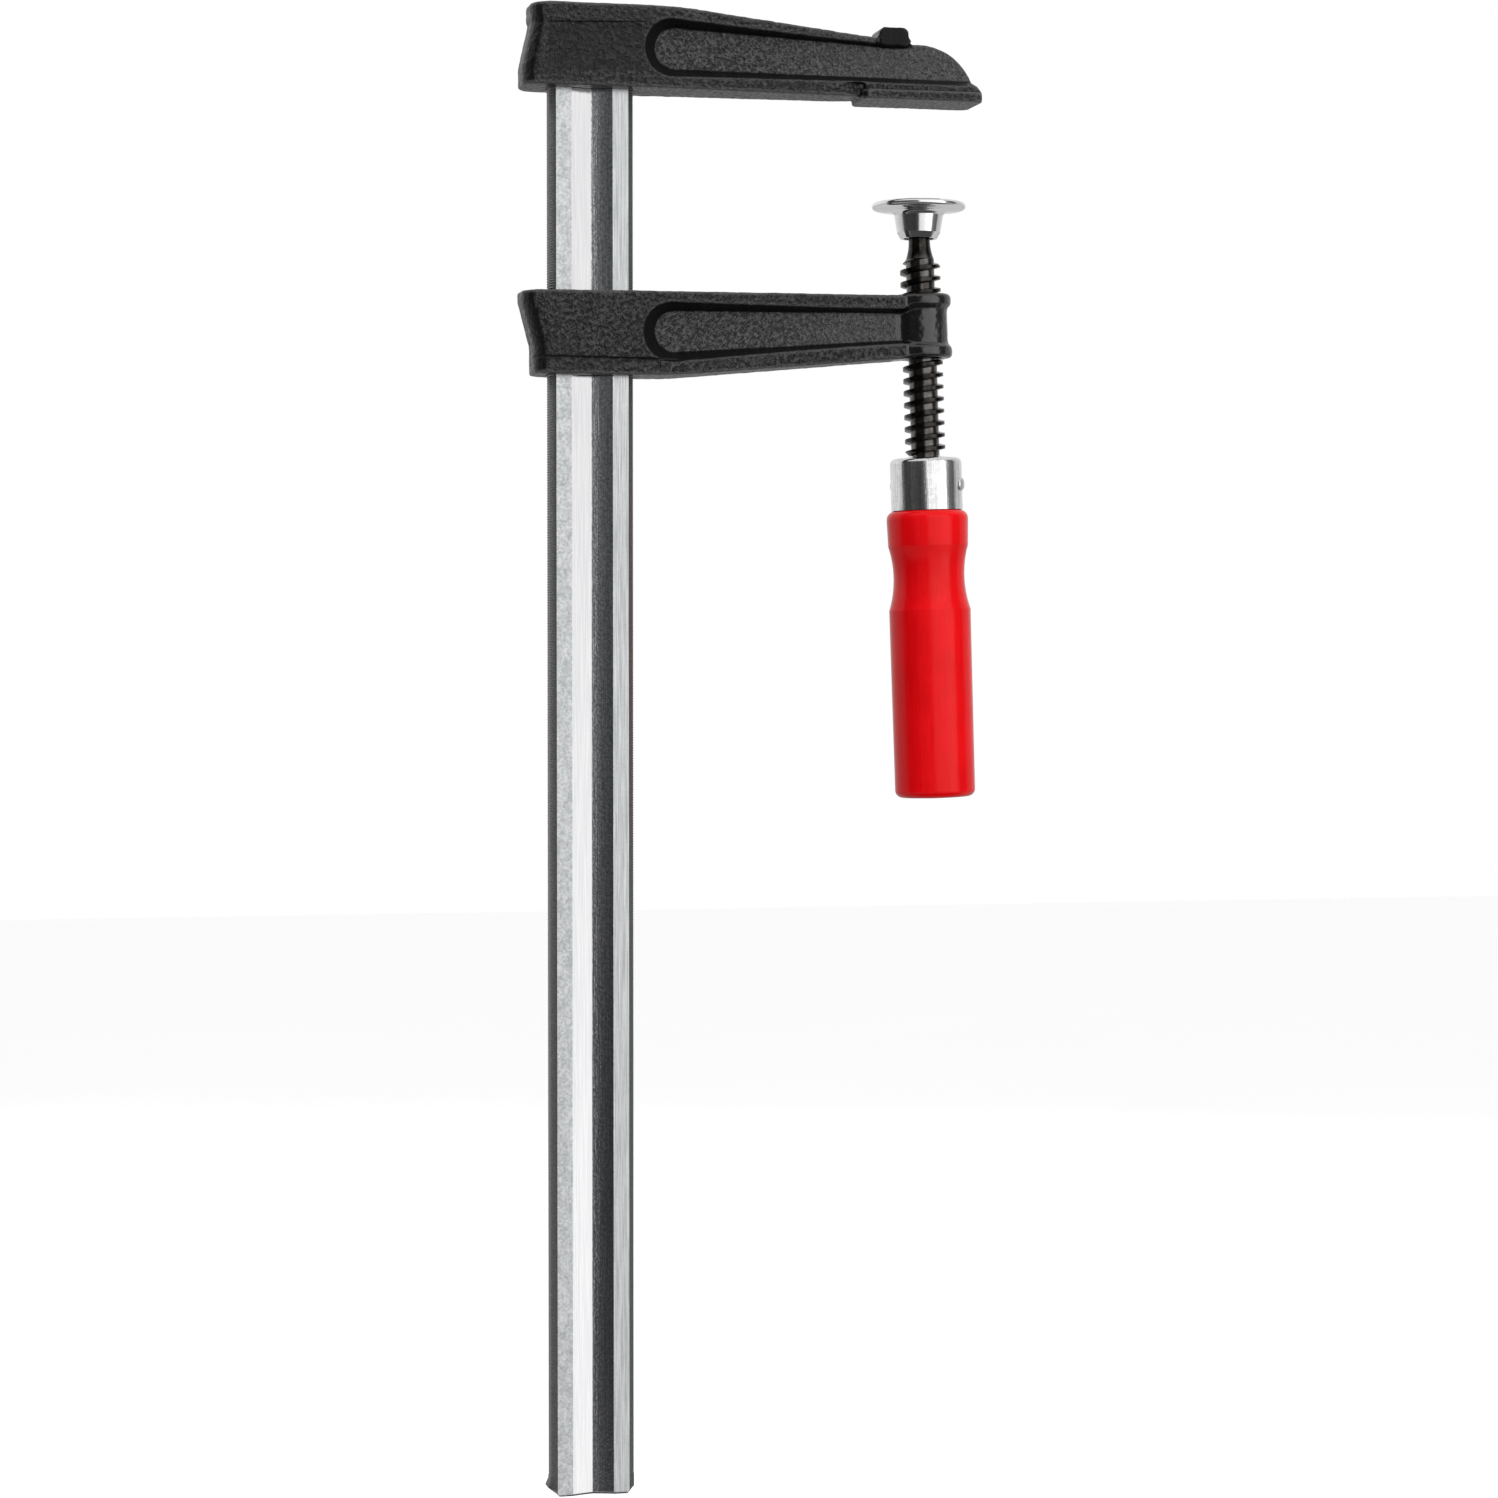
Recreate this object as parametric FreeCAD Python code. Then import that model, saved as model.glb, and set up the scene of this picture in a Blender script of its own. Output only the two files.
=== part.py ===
"""Cast-iron F clamp: grooved rail, fixed arm, sliding arm, screw spindle with swivel pad, and turned handle.

Millimetres. The origin is the centre of the fixed jaw's clamping face. +Z runs up the rail, +X runs from
the rail towards the jaw tips, and the clamp is symmetric about the XZ plane apart from its thread and pin.
The spindle leans slightly away from the rail, so its pieces are made upright about Z and then tilted.
"""

import FreeCAD, Part
import math
import os

Vector = FreeCAD.Vector
UP = Vector(0, 0, 1)
ACROSS = Vector(0, 1, 0)

# Rail
THROAT = 120.0                 # rail's front edge to the clamping axis
RAIL_WIDTH = 34.6
RAIL_THICKNESS = 11.0
RAIL_TOP = 33.9
RAIL_BOTTOM = -572.0
RAIL_BEVEL_X = 2.4
RAIL_BEVEL_Y = 2.2
GROOVE_WIDTH = 16.9
GROOVE_DEPTH = 2.6
GROOVE_FLAT = 1.6              # width of the groove's flat bottom
LUG_HEIGHT = 6.5               # swaged end lug that keeps the sliding arm on
LUG_PEAK = 3.8
LUG_PROUD = 1.2
END_CHAMFER_X = 3.2
END_CHAMFER_Z = 3.4

# Both castings
HEAD_WIDTH = 26.0
HEAD_CORNER = 8.5
ARM_TIP_WIDTH = 18.5
TAPER_START_X = -THROAT
TAPER_END_X = -34.0
WEB_HALF = 4.5
POCKET_RIM_X = -105.4          # centre of the pocket's round end, at the rim
POCKET_FLOOR_X = -102.8        # and at the floor, where the outline is smaller
POCKET_FLOOR_RADIUS = 8.5
BEND_RADIUS = 200.0            # gentle bend where the arm starts to taper
ARM_CLEARANCE = 0.35           # sliding arm to rail

# Fixed arm
FIXED_TOP = 34.5
FIXED_UNDERSIDE = 1.2
FIXED_BACK_TOP_X = -162.6
FIXED_BACK_NECK_X = -161.8     # just under the head's top rib
FIXED_BACK_LOW_X = -166.0
FIXED_BEND_X = -114.0
FIXED_TAPER_DEG = 6.0
FIXED_SHOULDER_X = -2.0
FIXED_POCKET_Z = 17.6
FIXED_POCKET_RADIUS = 12.4
JAW_LENGTH = 51.5
JAW_WIDTH = 26.0
NOSE_X = 26.3
NOSE_ROUND = 5.0               # in plan
NUB_X = -10.9
NUB_LENGTH = 12.5
NUB_WIDTH = 15.0
NUB_TOP = 30.3
NUB_LOW = 22.5

# Sliding arm, as it stands on the rail
SLIDE_TOP = -79.7                # at the boss
SLIDE_TOP_BACK = -81.2         # at the head: the top edge falls slightly towards the rail
SLIDE_UNDERSIDE = -114.9
SLIDE_BACK_TOP_X = -166.4
SLIDE_BACK_LOW_X = -161.6
SLIDE_BEND_X = -114.0
SLIDE_TAPER_DEG = 5.2
SLIDE_POCKET_Z = -97.4
SLIDE_POCKET_RADIUS = 12.9
BAND_TOP = -108.1              # top of the narrower band round the head's foot
BOSS_TOP = -78.8
BOSS_BOTTOM = -105.5
BOSS_RADIUS = 10.7
COLLAR_RADIUS = 12.4
COLLAR_HEIGHT = 6.2
COLLAR_CHAMFER = 1.7
COLLAR_ROUND = 1.5

# Spindle, measured along its own axis from the clamping face down
SPINDLE_TILT_DEG = 1.8
THREAD_RADIUS = 8.4
ROOT_RADIUS = 5.9
PITCH = 5.0
THREAD_PHASE = 1.8             # drop of the thread's start, which sets where its crests fall
CREST_WIDTH = 1.4
BASE_WIDTH = 2.8
THREAD_GAP = 0.25              # clearance of the nut thread on every flank
THREAD_TOP = -63.7
THREAD_END = -145.6
BALL_Z = -47.9
BALL_RADIUS = 5.8
BALL_FLAT = 1.5                # radius of the flat on the ball's nose
STEM_RADIUS = 3.8              # between ball and neck, inside the pad's cup
NECK_RADIUS = 4.45
NECK_END = -64.3               # where the flared neck meets the thread's root
SHANK_RADIUS = 5.5             # plain end inside the handle
SHANK_END = -231.0

# Swivel pad
PAD_FACE = -40.9
PAD_RADIUS = 19.5
PAD_RIM = 2.8
PAD_EDGE = 1.2                 # rounding of the disc's rim
CUP_TOP_RADIUS = 10.2
CUP_LOW_RADIUS = 9.0
CUP_MOUTH_RADIUS = 7.6
CUP_BOTTOM = -55.6
CUP_LIP = 0.9
BALL_GAP = 0.3
CUP_BORE = 6.7
MOUTH_BORE = 6.3
RING_RADIUS = 4.7
RING_WIRE = 0.5
RING_Z = BALL_Z - 5.3
RING_GAP_DEG = 40.0

# Handle
FERRULE_TOP = -146.6
FERRULE_BOTTOM = -168.3
FERRULE_RADIUS = 14.9
FERRULE_WALL = 1.3
FERRULE_CORNER = 2.4
HANDLE_BOTTOM = -288.2
HANDLE_RADIUS = 17.0
HANDLE_SHOULDER_Z = -172.0
HANDLE_EASE_Z = -183.0         # where the grip starts to draw in
WAIST_RADIUS = 14.9
WAIST_Z = -199.0
RIDGE_Z = -209.7
HANDLE_END_ROUND = 3.4
PIN_RADIUS = 2.9
PIN_Z = -157.9
PIN_PROUD = 1.4                # height of the domed head; the other end is peened flush
PIN_YAW_DEG = -34.0            # the head's direction, from +X towards -Y

RAIL_FRONT_X = -THROAT
RAIL_BACK_X = -THROAT - RAIL_WIDTH
RAIL_MID_X = -THROAT - RAIL_WIDTH / 2


def wire_of(edges):
    """One closed wire from edges in any order."""
    return Part.Wire(Part.__sortEdges__(edges))


def polygon(points):
    """Closed straight-sided wire."""
    return Part.makePolygon(list(points) + [points[0]])


def line(a, b):
    return Part.makeLine(a, b)


def arc(a, middle, b):
    return Part.Arc(a, middle, b).toShape()


def side(x, z, y=0.0):
    """A point of a side profile, drawn in the XZ plane at depth y."""
    return Vector(x, y, z)


def slab(wire, depth):
    """A side profile made solid, depth thick and centred on the XZ plane."""
    start = wire.copy()
    start.translate(Vector(0, -depth / 2, 0))
    return Part.Face(start).extrude(Vector(0, depth, 0))


def turned(points):
    """A solid of revolution about Z from a closed outline of (radius, z) points."""
    outline = polygon([Vector(r, 0, z) for r, z in points])
    return Part.Face(outline).revolve(Vector(0, 0, 0), UP, 360)


def turned_edges(edges):
    """A solid of revolution about Z from a closed outline of edges in the XZ plane."""
    return Part.Face(wire_of(edges)).revolve(Vector(0, 0, 0), UP, 360)


def leaned(shape):
    """Tilts an upright spindle piece on to the spindle's real axis."""
    shape.rotate(Vector(0, 0, 0), ACROSS, -SPINDLE_TILT_DEG)
    return shape


def ball_centre():
    """The middle of the spindle's ball, about which the pad swivels."""
    lean = math.radians(SPINDLE_TILT_DEG)
    return Vector(-BALL_Z * math.sin(lean), 0, BALL_Z * math.cos(lean))


def rail_outline(grow=0.0):
    """The rail's bevelled outline in plan, with no grooves."""
    half_x = RAIL_WIDTH / 2 + grow
    half_y = RAIL_THICKNESS / 2 + grow
    corners = []
    for sx, sy, along_x in ((1, -1, True), (1, 1, False), (-1, 1, True), (-1, -1, False)):
        near = (sx * (half_x - RAIL_BEVEL_X), sy * half_y)
        far = (sx * half_x, sy * (half_y - RAIL_BEVEL_Y))
        corners += [near, far] if along_x else [far, near]
    return polygon([Vector(RAIL_MID_X + x, y, 0) for x, y in corners])


def rail_envelope(low, high, grow=0.0):
    """A bar of the rail's outline between two heights, used to cut the castings' slots."""
    outline = rail_outline(grow)
    outline.translate(Vector(0, 0, low))
    return Part.Face(outline).extrude(Vector(0, 0, high - low))


def groove(low, high, face):
    """The V groove down one broad side of the rail; face is -1 or +1."""
    rim = face * (RAIL_THICKNESS / 2)
    floor = face * (RAIL_THICKNESS / 2 - GROOVE_DEPTH)
    beyond = face * RAIL_THICKNESS
    section = polygon([
        Vector(RAIL_MID_X - GROOVE_WIDTH / 2, beyond, low),
        Vector(RAIL_MID_X - GROOVE_WIDTH / 2, rim, low),
        Vector(RAIL_MID_X - GROOVE_FLAT / 2, floor, low),
        Vector(RAIL_MID_X + GROOVE_FLAT / 2, floor, low),
        Vector(RAIL_MID_X + GROOVE_WIDTH / 2, rim, low),
        Vector(RAIL_MID_X + GROOVE_WIDTH / 2, beyond, low),
    ])
    return Part.Face(section).extrude(Vector(0, 0, high - low))


def end_chamfer(edge_x, inward):
    """Cuts one lower corner of the rail; inward is the direction along X into the rail."""
    overlap = 1.0
    corner = polygon([
        side(edge_x - inward * (LUG_PROUD + overlap), RAIL_BOTTOM - overlap),
        side(edge_x - inward * (LUG_PROUD + overlap), RAIL_BOTTOM + END_CHAMFER_Z),
        side(edge_x - inward * LUG_PROUD, RAIL_BOTTOM + END_CHAMFER_Z),
        side(edge_x + inward * END_CHAMFER_X, RAIL_BOTTOM),
        side(edge_x + inward * END_CHAMFER_X, RAIL_BOTTOM - overlap),
    ])
    return slab(corner, 2 * RAIL_THICKNESS)


def end_lug(edge_x, inward):
    """The swaged lug that stands proud of one narrow edge."""
    root = edge_x + inward
    lug = polygon([
        side(root, RAIL_BOTTOM + LUG_HEIGHT),
        side(edge_x, RAIL_BOTTOM + LUG_HEIGHT),
        side(edge_x - inward * LUG_PROUD, RAIL_BOTTOM + LUG_PEAK),
        side(edge_x - inward * LUG_PROUD, RAIL_BOTTOM + END_CHAMFER_Z),
        side(root, RAIL_BOTTOM + 1.0),
    ])
    return slab(lug, RAIL_THICKNESS - 2 * RAIL_BEVEL_Y)


def make_rail():
    rail = rail_envelope(RAIL_BOTTOM, RAIL_TOP)
    for face in (-1, 1):
        rail = rail.cut(groove(RAIL_BOTTOM, RAIL_TOP, face))
    rail = rail.fuse(end_lug(RAIL_BACK_X, 1))
    for edge_x, inward in ((RAIL_FRONT_X, -1), (RAIL_BACK_X, 1)):
        rail = rail.cut(end_chamfer(edge_x, inward))
    return rail.removeSplitter()


def plan_outline(back_x, front_x, z):
    """A casting seen from above: parallel head with rounded back corners, then a taper to the tip."""
    half_head = HEAD_WIDTH / 2
    half_tip = ARM_TIP_WIDTH / 2
    turn = HEAD_CORNER * (1 - math.sqrt(0.5))
    back = back_x + HEAD_CORNER
    flank = half_head - HEAD_CORNER
    edges = []
    for s in (-1, 1):
        edges += [
            arc(Vector(back_x, s * flank, z), Vector(back_x + turn, s * (half_head - turn), z),
                Vector(back, s * half_head, z)),
            line(Vector(back, s * half_head, z), Vector(TAPER_START_X, s * half_head, z)),
            line(Vector(TAPER_START_X, s * half_head, z), Vector(TAPER_END_X, s * half_tip, z)),
            line(Vector(TAPER_END_X, s * half_tip, z), Vector(front_x, s * half_tip, z)),
        ]
    edges.append(line(Vector(back_x, -flank, z), Vector(back_x, flank, z)))
    edges.append(line(Vector(front_x, -half_tip, z), Vector(front_x, half_tip, z)))
    return wire_of(edges)


def head_shear(low_x, high_x, low_z, high_z, front_x):
    """The castings' plan shape lofted between the back's two positions, so the back face slopes."""
    return Part.makeLoft([plan_outline(low_x, front_x, low_z), plan_outline(high_x, front_x, high_z)],
                         True, True)


def pocket(outer, inner, face):
    """A drafted pocket in one side of a casting, from rim to floor."""
    rim_y = face * (HEAD_WIDTH / 2 + 0.5)
    floor_y = face * WEB_HALF
    rim, floor = outer.copy(), inner.copy()
    rim.translate(Vector(0, rim_y, 0))
    floor.translate(Vector(0, floor_y, 0))
    return Part.makeLoft([rim, floor], True, True)


def pocket_outline(centre, radius, ends):
    """A pocket's outline: a round left end about centre, then straight runs through the ends."""
    top = centre + Vector(0, 0, radius)
    bottom = centre - Vector(0, 0, radius)
    edges = [arc(bottom, centre - Vector(radius, 0, 0), top)]
    run = [top] + [side(x, z) for x, z in ends] + [bottom]
    edges += [line(a, b) for a, b in zip(run, run[1:])]
    return wire_of(edges)


def bend(x, z, turn_deg, rise):
    """The edges of a gentle bend off a level line, and the point where it ends; rise is +1 or -1."""
    turn = math.radians(turn_deg)
    end = side(x + BEND_RADIUS * math.sin(turn), z + rise * BEND_RADIUS * (1 - math.cos(turn)))
    middle = side(x + BEND_RADIUS * math.sin(turn / 2), z + rise * BEND_RADIUS * (1 - math.cos(turn / 2)))
    return arc(side(x, z), middle, end), end


def fixed_profile():
    """The fixed arm from the side, without the jaw pad and the nub."""
    curve, taper_start = bend(FIXED_BEND_X, FIXED_TOP, FIXED_TAPER_DEG, -1)
    slope = math.tan(math.radians(FIXED_TAPER_DEG))
    shoulder = side(FIXED_SHOULDER_X, taper_start.z - slope * (FIXED_SHOULDER_X - taper_start.x))
    brow = side(13.6, 20.2)
    cheek = side(23.2, 8.5)
    nose = side(NOSE_X, 4.4)
    chin = side(NOSE_X, FIXED_UNDERSIDE)
    heel = side(FIXED_BACK_LOW_X, FIXED_UNDERSIDE)
    back_top = side(FIXED_BACK_LOW_X, FIXED_TOP)
    return wire_of([
        line(heel, back_top), line(back_top, side(FIXED_BEND_X, FIXED_TOP)), curve,
        line(taper_start, shoulder), arc(shoulder, brow, cheek), line(cheek, nose),
        line(nose, chin), line(chin, heel),
    ])


def fixed_pockets():
    """Both side pockets of the fixed arm. They run out through the rounded tip, past the nub."""
    beyond_x, above_z = 40.0, 45.0
    stop_x = NUB_X - NUB_LENGTH / 2
    rim = pocket_outline(side(POCKET_RIM_X, FIXED_POCKET_Z), FIXED_POCKET_RADIUS, [
        (stop_x, 23.6), (stop_x + 0.5, above_z), (beyond_x, above_z), (beyond_x, 4.2)])
    floor = pocket_outline(side(POCKET_FLOOR_X, FIXED_POCKET_Z + 0.8), POCKET_FLOOR_RADIUS, [
        (stop_x, 22.7), (stop_x + 0.5, above_z), (beyond_x, above_z), (beyond_x, 9.2)])
    return [pocket(rim, floor, face) for face in (-1, 1)]


def jaw_pad():
    """The clamping pad under the fixed arm's tip: wider than the arm, rounded at the nose."""
    back = NOSE_X - JAW_LENGTH
    half, clip, r = JAW_WIDTH / 2, 4.0, NOSE_ROUND
    height = 4.0
    turn = r * (1 - math.sqrt(0.5))
    edges = [line(Vector(back, half - clip, 0), Vector(back, clip - half, 0)),
             line(Vector(NOSE_X, r - half, 0), Vector(NOSE_X, half - r, 0))]
    for s in (-1, 1):
        edges += [
            line(Vector(back, s * (half - clip), 0), Vector(back + clip / 2, s * half, 0)),
            line(Vector(back + clip / 2, s * half, 0), Vector(NOSE_X - r, s * half, 0)),
            arc(Vector(NOSE_X - r, s * half, 0), Vector(NOSE_X - turn, s * (half - turn), 0),
                Vector(NOSE_X, s * (half - r), 0)),
        ]
    return Part.Face(wire_of(edges)).extrude(Vector(0, 0, height))


def side_notches():
    """Scoops in both sides of the flange, just behind the jaw pad."""
    back = NOSE_X - JAW_LENGTH
    scoops = []
    for face in (-1, 1):
        outline = polygon([Vector(back - 9.0, face * 9.6, 0), Vector(back - 4.0, face * 7.6, 0),
                           Vector(back + 1.5, face * 6.6, 0), Vector(back + 1.5, face * 9.9, 0),
                           Vector(back - 9.0, face * 9.9, 0)])
        scoops.append(Part.Face(outline).extrude(Vector(0, 0, 7.0)))
    return scoops


def nub():
    """The cast lug across the top of the fixed arm's tip."""
    half = NUB_LENGTH / 2
    profile = polygon([
        side(NUB_X - half + 0.8, NUB_LOW), side(NUB_X + half - 0.8, NUB_LOW),
        side(NUB_X + half, NUB_LOW + 0.8), side(NUB_X + half + 1.4, 24.6), side(NUB_X + half, 26.2),
        side(NUB_X + half, NUB_TOP - 1.5), side(NUB_X + half - 1.5, NUB_TOP),
        side(NUB_X - half + 1.5, NUB_TOP), side(NUB_X - half, NUB_TOP - 1.5),
        side(NUB_X - half, 27.2), side(NUB_X - half - 1.2, 26.0), side(NUB_X - half, NUB_LOW + 0.8),
    ])
    return slab(profile, NUB_WIDTH)


def head_panels():
    """Shallow panels in both sides of the fixed head, between its top and bottom ribs."""
    depth = 0.7
    panels = []
    for face in (-1, 1):
        outline = polygon([side(-157.5, 9.0), side(-157.5, 27.0), side(-112.0, 27.0), side(-112.0, 9.0)])
        outline.translate(Vector(0, face * (HEAD_WIDTH / 2 - depth), 0))
        panels.append(Part.Face(outline).extrude(Vector(0, face * 2 * depth, 0)))
    return panels


def make_fixed_arm():
    body = slab(fixed_profile(), 2 * HEAD_WIDTH)
    sloped = head_shear(FIXED_BACK_LOW_X, FIXED_BACK_NECK_X, 9.0, 27.5, NOSE_X)
    upper = Part.Face(plan_outline(FIXED_BACK_TOP_X, NOSE_X, 27.5)).extrude(Vector(0, 0, 20))
    lower = Part.Face(plan_outline(FIXED_BACK_LOW_X, NOSE_X, -5.0)).extrude(Vector(0, 0, 14))
    arm = body.common(sloped.fuse([upper, lower]))
    for cutter in fixed_pockets() + head_panels() + side_notches():
        arm = arm.cut(cutter)
    arm = arm.fuse([jaw_pad(), nub()])
    slot = rail_envelope(-5.0, 50.0)
    for face in (-1, 1):
        slot = slot.cut(groove(-6.0, 51.0, face))
    return arm.cut(slot).removeSplitter()


def slide_profile():
    """The sliding arm from the side, without its boss."""
    curve, taper_start = bend(SLIDE_BEND_X, SLIDE_UNDERSIDE, SLIDE_TAPER_DEG, 1)
    slope = math.tan(math.radians(SLIDE_TAPER_DEG))
    end = side(2.0, taper_start.z + slope * (2.0 - taper_start.x))
    return wire_of([
        line(side(SLIDE_BACK_TOP_X, SLIDE_UNDERSIDE), side(SLIDE_BACK_TOP_X, SLIDE_TOP_BACK)),
        line(side(SLIDE_BACK_TOP_X, SLIDE_TOP_BACK), side(2.0, SLIDE_TOP)),
        line(side(2.0, SLIDE_TOP), end), line(end, taper_start), curve,
        line(side(SLIDE_BEND_X, SLIDE_UNDERSIDE), side(SLIDE_BACK_TOP_X, SLIDE_UNDERSIDE)),
    ])


def slide_pockets():
    """Both side pockets of the sliding arm, which run out against the boss."""
    rim = pocket_outline(side(POCKET_RIM_X, SLIDE_POCKET_Z), SLIDE_POCKET_RADIUS,
                         [(4.0, -83.7), (4.0, -100.3)])
    floor = pocket_outline(side(POCKET_FLOOR_X, SLIDE_POCKET_Z + 1.0), POCKET_FLOOR_RADIUS,
                           [(4.0, -86.8), (4.0, -97.7)])
    return [pocket(rim, floor, face) for face in (-1, 1)]


def foot_band():
    """Cuts the head's foot back a little all round its sides, leaving a step."""
    depth = 0.6
    strips = []
    for face in (-1, 1):
        outline = polygon([side(-175.0, SLIDE_UNDERSIDE - 1), side(-175.0, BAND_TOP),
                           side(-103.0, BAND_TOP), side(-88.0, SLIDE_UNDERSIDE - 1)])
        outline.translate(Vector(0, face * (HEAD_WIDTH / 2 - depth), 0))
        strips.append(Part.Face(outline).extrude(Vector(0, face * 2 * depth, 0)))
    return strips


def boss():
    """The nut boss on the sliding arm, with a rounded collar at each end."""
    right_side = [(COLLAR_RADIUS - COLLAR_ROUND, 0), (COLLAR_RADIUS - 0.3 * COLLAR_ROUND, 0.3 * COLLAR_ROUND),
                  (COLLAR_RADIUS, COLLAR_ROUND), (COLLAR_RADIUS, COLLAR_HEIGHT - COLLAR_CHAMFER),
                  (BOSS_RADIUS, COLLAR_HEIGHT)]
    upper = [(r, BOSS_TOP - drop) for r, drop in right_side]
    lower = [(r, BOSS_BOTTOM + rise) for r, rise in reversed(right_side)]
    return leaned(turned([(0, BOSS_TOP)] + upper + lower + [(0, BOSS_BOTTOM)]))


def thread_ridge(low, high, crest_radius, base_radius, crest_width, base_width):
    """A right-handed trapezoid ridge wound about Z from low to high, in phase for every caller."""
    turns_below = math.ceil(-low / PITCH) + 1
    start = -turns_below * PITCH - THREAD_PHASE
    height = math.ceil((high - start) / PITCH + 1) * PITCH
    helix = Part.makeHelix(PITCH, height, crest_radius)
    helix.translate(Vector(0, 0, start))
    buried = base_radius - 0.6
    grow = (base_width - crest_width) / 2 * (base_radius - buried) / (crest_radius - base_radius)
    section = polygon([
        Vector(buried, 0, start - base_width / 2 - grow), Vector(crest_radius, 0, start - crest_width / 2),
        Vector(crest_radius, 0, start + crest_width / 2), Vector(buried, 0, start + base_width / 2 + grow),
    ])
    return Part.Wire(helix).makePipeShell([section], True, True)


def make_nut_cutter():
    """The tapped hole's shape: its minor bore, its helical groove and a lead-in cone at each end."""
    bore = ROOT_RADIUS + 0.35
    outer = THREAD_RADIUS + 0.3
    wide = 2 * THREAD_GAP
    low, high = BOSS_BOTTOM - 4, BOSS_TOP + 4
    cutter = turned([(0, low), (bore, low), (bore, high), (0, high)])
    ridge = thread_ridge(low, high, outer, bore, CREST_WIDTH + wide, BASE_WIDTH + wide)
    ridge = ridge.common(turned([(0, low), (outer + 1, low), (outer + 1, high), (0, high)]))
    cutter = cutter.fuse(ridge)
    lead = THREAD_RADIUS + 0.4
    for z, inward in ((BOSS_TOP, -1), (BOSS_BOTTOM, 1)):
        cone = turned([(0, z - inward * 1.0), (lead, z - inward * 1.0), (lead, z),
                       (bore - 0.5, z + inward * (lead - bore + 0.5)),
                       (0, z + inward * (lead - bore + 0.5))])
        cutter = cutter.fuse(cone)
    return leaned(cutter)


def make_sliding_arm():
    body = slab(slide_profile(), 2 * HEAD_WIDTH)
    front = 2.0
    sloped = head_shear(SLIDE_BACK_LOW_X, SLIDE_BACK_TOP_X, -103.5, -85.0, front)
    upper = Part.Face(plan_outline(SLIDE_BACK_TOP_X, front, -85.0)).extrude(Vector(0, 0, 10))
    lower = Part.Face(plan_outline(SLIDE_BACK_LOW_X, front, -125.0)).extrude(Vector(0, 0, 21.5))
    arm = body.common(sloped.fuse([upper, lower]))
    for cutter in slide_pockets() + foot_band():
        arm = arm.cut(cutter)
    arm = arm.fuse(boss())
    arm = arm.cut(rail_envelope(-130.0, -70.0, ARM_CLEARANCE))
    return arm.cut(make_nut_cutter()).removeSplitter()


def make_spindle():
    ball_top = BALL_Z + math.sqrt(BALL_RADIUS**2 - BALL_FLAT**2)
    ball_low = BALL_Z - math.sqrt(BALL_RADIUS**2 - STEM_RADIUS**2)
    outline = [
        Vector(STEM_RADIUS, 0, ball_low), Vector(STEM_RADIUS, 0, CUP_BOTTOM + 1.0),
        Vector(NECK_RADIUS, 0, CUP_BOTTOM),
    ]
    shank = [
        Vector(ROOT_RADIUS, 0, NECK_END), Vector(ROOT_RADIUS, 0, THREAD_END),
        Vector(SHANK_RADIUS, 0, THREAD_END), Vector(SHANK_RADIUS, 0, SHANK_END),
        Vector(0, 0, SHANK_END), Vector(0, 0, ball_top), Vector(BALL_FLAT, 0, ball_top),
    ]
    edges = [line(a, b) for run in (outline, shank) for a, b in zip(run, run[1:])]
    edges.append(arc(shank[-1], Vector(BALL_RADIUS, 0, BALL_Z), outline[0]))
    edges.append(arc(outline[-1], Vector(4.8, 0, -60.4), shank[0]))
    core = turned_edges(edges)
    ridge = thread_ridge(THREAD_END, THREAD_TOP, THREAD_RADIUS, ROOT_RADIUS, CREST_WIDTH, BASE_WIDTH)
    envelope = turned([
        (0, THREAD_TOP), (ROOT_RADIUS - 0.4, THREAD_TOP), (THREAD_RADIUS + 1, THREAD_TOP - 4.5),
        (THREAD_RADIUS + 1, THREAD_END + 2.6), (ROOT_RADIUS + 0.9, THREAD_END), (0, THREAD_END),
    ])
    spindle = core.fuse(ridge.common(envelope))
    hole = pin_bar(PIN_RADIUS, 2 * FERRULE_RADIUS)
    return leaned(spindle.cut(hole))


def pin_bar(radius, length):
    """A bar along the cross pin's axis, upright frame, centred on the spindle."""
    bar = Part.makeCylinder(radius, length, Vector(-length / 2, 0, PIN_Z), Vector(1, 0, 0))
    bar.rotate(Vector(0, 0, 0), UP, PIN_YAW_DEG)
    return bar


def make_cross_pin():
    """The rivet through ferrule, wood and spindle: a domed head, and an end peened flush."""
    reach = FERRULE_RADIUS + PIN_PROUD
    straight = FERRULE_RADIUS + 0.3
    flat = 0.8
    shoulder = side(straight + 0.7 * (reach - straight), 0.7 * PIN_RADIUS)
    outline = wire_of([
        line(side(-FERRULE_RADIUS, 0), side(-FERRULE_RADIUS, PIN_RADIUS)),
        line(side(-FERRULE_RADIUS, PIN_RADIUS), side(straight, PIN_RADIUS)),
        arc(side(straight, PIN_RADIUS), shoulder, side(reach, flat)),
        line(side(reach, flat), side(reach, 0)),
        line(side(reach, 0), side(-FERRULE_RADIUS, 0)),
    ])
    pin = Part.Face(outline).revolve(Vector(0, 0, 0), Vector(1, 0, 0), 360)
    pin.translate(Vector(0, 0, PIN_Z))
    pin.rotate(Vector(0, 0, 0), UP, PIN_YAW_DEG)
    return leaned(pin)


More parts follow.
